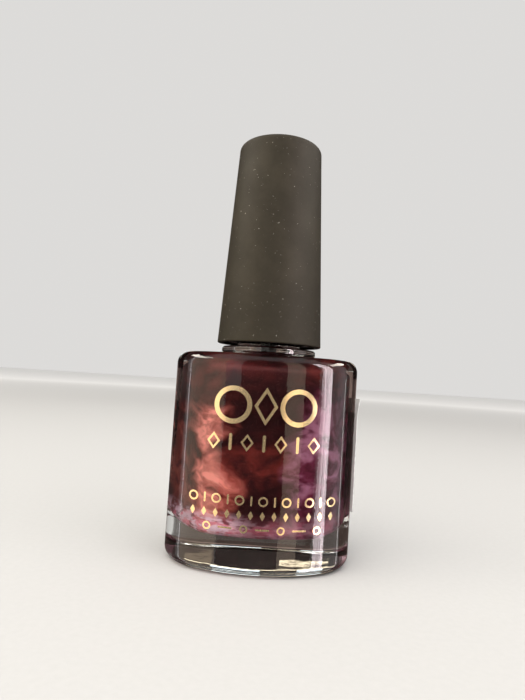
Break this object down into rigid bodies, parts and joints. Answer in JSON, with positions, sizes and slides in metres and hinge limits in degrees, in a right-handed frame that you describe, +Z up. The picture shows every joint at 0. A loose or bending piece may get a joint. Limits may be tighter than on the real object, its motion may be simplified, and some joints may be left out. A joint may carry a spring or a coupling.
{
  "type": "nail polish bottle",
  "caption": "Heavy oval glass bottle of pearlescent burgundy nail lacquer with a tapered matte black screw cap and brush.",
  "frame": {"origin": "on the plane the bottle stands on, on the axis of the neck", "axes": "+Z up along the neck, -Y out of the printed front face, X along the long side of the oval body"},
  "size_m": [0.0384, 0.0263, 0.085],
  "materials": {
    "clear_glass": "polished clear soda-lime glass",
    "pearl_lacquer": "wet pearlescent burgundy with salmon and pink swirls",
    "steel_ball": "polished stainless steel",
    "gold_foil": "hot-stamped gold foil",
    "label_paper": "white coated label paper",
    "washer_foam": "white sealing foam",
    "cap_black": "fine matte texture",
    "liner_plastic": "moulded black polypropylene",
    "stem_black": "moulded black polyethylene",
    "staple_brass": "drawn wire",
    "nylon_bristle": "fine nylon filament wet with lacquer"
  },
  "bodies": {
    "bottle": {"glass_bottle": "clear_glass", "lacquer_fill": "pearl_lacquer", "mixing_ball_1": "steel_ball", "mixing_ball_2": "steel_ball", "front_print": "gold_foil", "back_label": "label_paper", "base_label": "label_paper"},
    "seal": {"sealing_washer": "washer_foam"},
    "cap": {"outer_cap": "cap_black", "inner_cap": "liner_plastic", "brush_stem": "stem_black", "bristle_staple": "staple_brass", "bristle_tuft": "nylon_bristle"}
  },
  "joints": [
    {"name": "cap_rise", "type": "slide", "parent": "bottle", "child": "seal", "axis": [0, 0, 1], "range_m": [0, 0.0488]},
    {"name": "cap_turn", "type": "hinge", "parent": "seal", "child": "cap", "pos_m": [0, 0, 0.05], "axis": [0, 0, 1], "range_deg": [0, 8280]}
  ],
  "couplings": [
    {"joint": "cap_rise", "follows": "cap_turn", "m_per_rad": 0.00033693}
  ]
}
